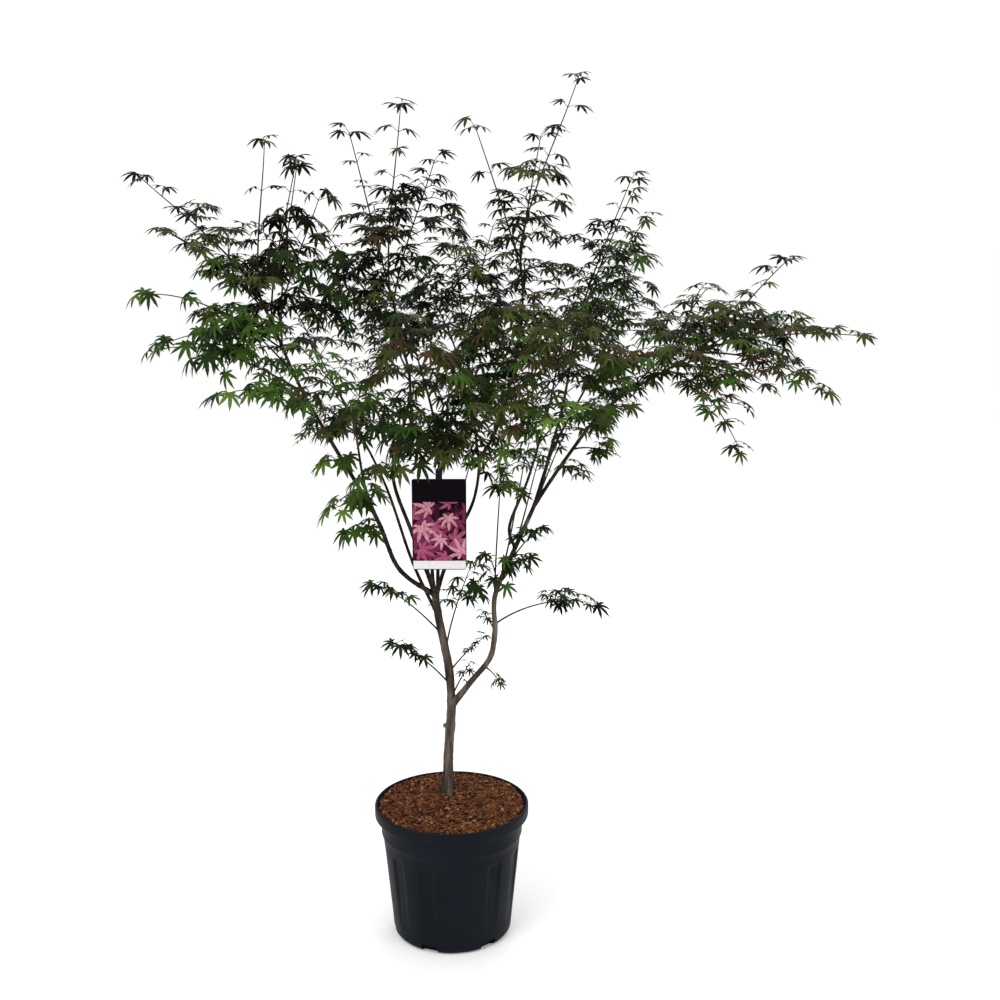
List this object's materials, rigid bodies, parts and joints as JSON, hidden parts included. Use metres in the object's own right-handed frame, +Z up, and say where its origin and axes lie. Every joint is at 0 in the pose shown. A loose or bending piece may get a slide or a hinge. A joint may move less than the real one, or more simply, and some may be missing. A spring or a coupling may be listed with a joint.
{
  "type": "potted japanese maple",
  "caption": "Young multi-stemmed Japanese maple in a black nursery pot of bark mulch, with an open crown of palmate leaves and a hanging plant label.",
  "frame": {"origin": "middle of the pot's flat underside, on the ground", "axes": "+Z up, -Y towards the side with the label, +X to the right as seen from that side"},
  "size_m": [1.3448, 0.8571, 1.6409],
  "materials": {
    "pot": "satin black moulded plastic",
    "mulch": "loose red-brown bark chips",
    "bark": "grey-brown bark with pale streaks",
    "young_bark": "smooth dark brown young bark",
    "twigs": "smooth red-brown shoots",
    "leaves_deep": "thin matt leaves, deep green",
    "leaves_green": "thin matt leaves, fresh green",
    "leaves_olive": "thin matt leaves, olive green",
    "leaves_bronze": "thin matt leaves, bronze brown",
    "label": "printed plastic plant label"
  },
  "bodies": {
    "root": {"pot": "pot", "mulch": "mulch", "trunk": "bark", "limb_right": "bark", "bough_left": "young_bark", "bough_centre_left": "young_bark", "bough_centre_right": "young_bark", "bough_front": "young_bark", "bough_centre_back": "young_bark", "bough_back_left": "young_bark", "bough_front_left": "young_bark", "bough_centre_high": "young_bark", "bough_right_front": "young_bark", "bough_right_mid": "young_bark", "bough_right_back": "young_bark", "bough_right_long": "young_bark", "label": "label", "leaves_left_tip": "leaves_deep", "leaves_left_shoot": "leaves_green", "leaves_left_upright": "leaves_olive", "leaves_left_upper": "leaves_bronze", "leaves_left_middle": "leaves_deep", "leaves_left_lower": "leaves_green", "leaves_left_back": "leaves_olive", "leaves_left_hanging": "leaves_bronze", "leaves_left_foot": "leaves_deep", "leaves_mid_left_tip": "leaves_green", "leaves_mid_left_arch": "leaves_olive", "leaves_mid_left_right": "leaves_bronze", "leaves_mid_left_side": "leaves_deep", "leaves_mid_left_front": "leaves_green", "leaves_high_top": "leaves_olive", "leaves_high_middle": "leaves_bronze", "leaves_high_left": "leaves_deep", "leaves_high_front": "leaves_green", "leaves_centre_right_up": "leaves_olive", "leaves_back_tip": "leaves_bronze", "leaves_back_left": "leaves_deep", "leaves_front_tip": "leaves_green", "leaves_front_low": "leaves_olive", "leaves_front_left_tip": "leaves_bronze", "leaves_back_left_tip": "leaves_deep", "leaves_back_left_low": "leaves_green", "leaves_right_mid_top": "leaves_olive", "leaves_right_mid_side": "leaves_bronze", "leaves_right_back_tip": "leaves_deep", "leaves_right_front_up": "leaves_green", "leaves_right_front_low": "leaves_olive", "leaves_wing_tip": "leaves_bronze", "leaves_wing_up": "leaves_deep", "leaves_wing_low": "leaves_green", "leaves_wing_hanging": "leaves_olive", "leaves_wing_front": "leaves_bronze", "leaves_wing_back": "leaves_deep", "leaves_wing_upper_left": "leaves_green", "leaves_low_right": "leaves_olive", "leaves_limb_side": "leaves_bronze", "leaves_low_left": "leaves_deep", "leaves_low_middle": "leaves_green", "leaves_lower_left": "leaves_olive"}
  },
  "joints": []
}
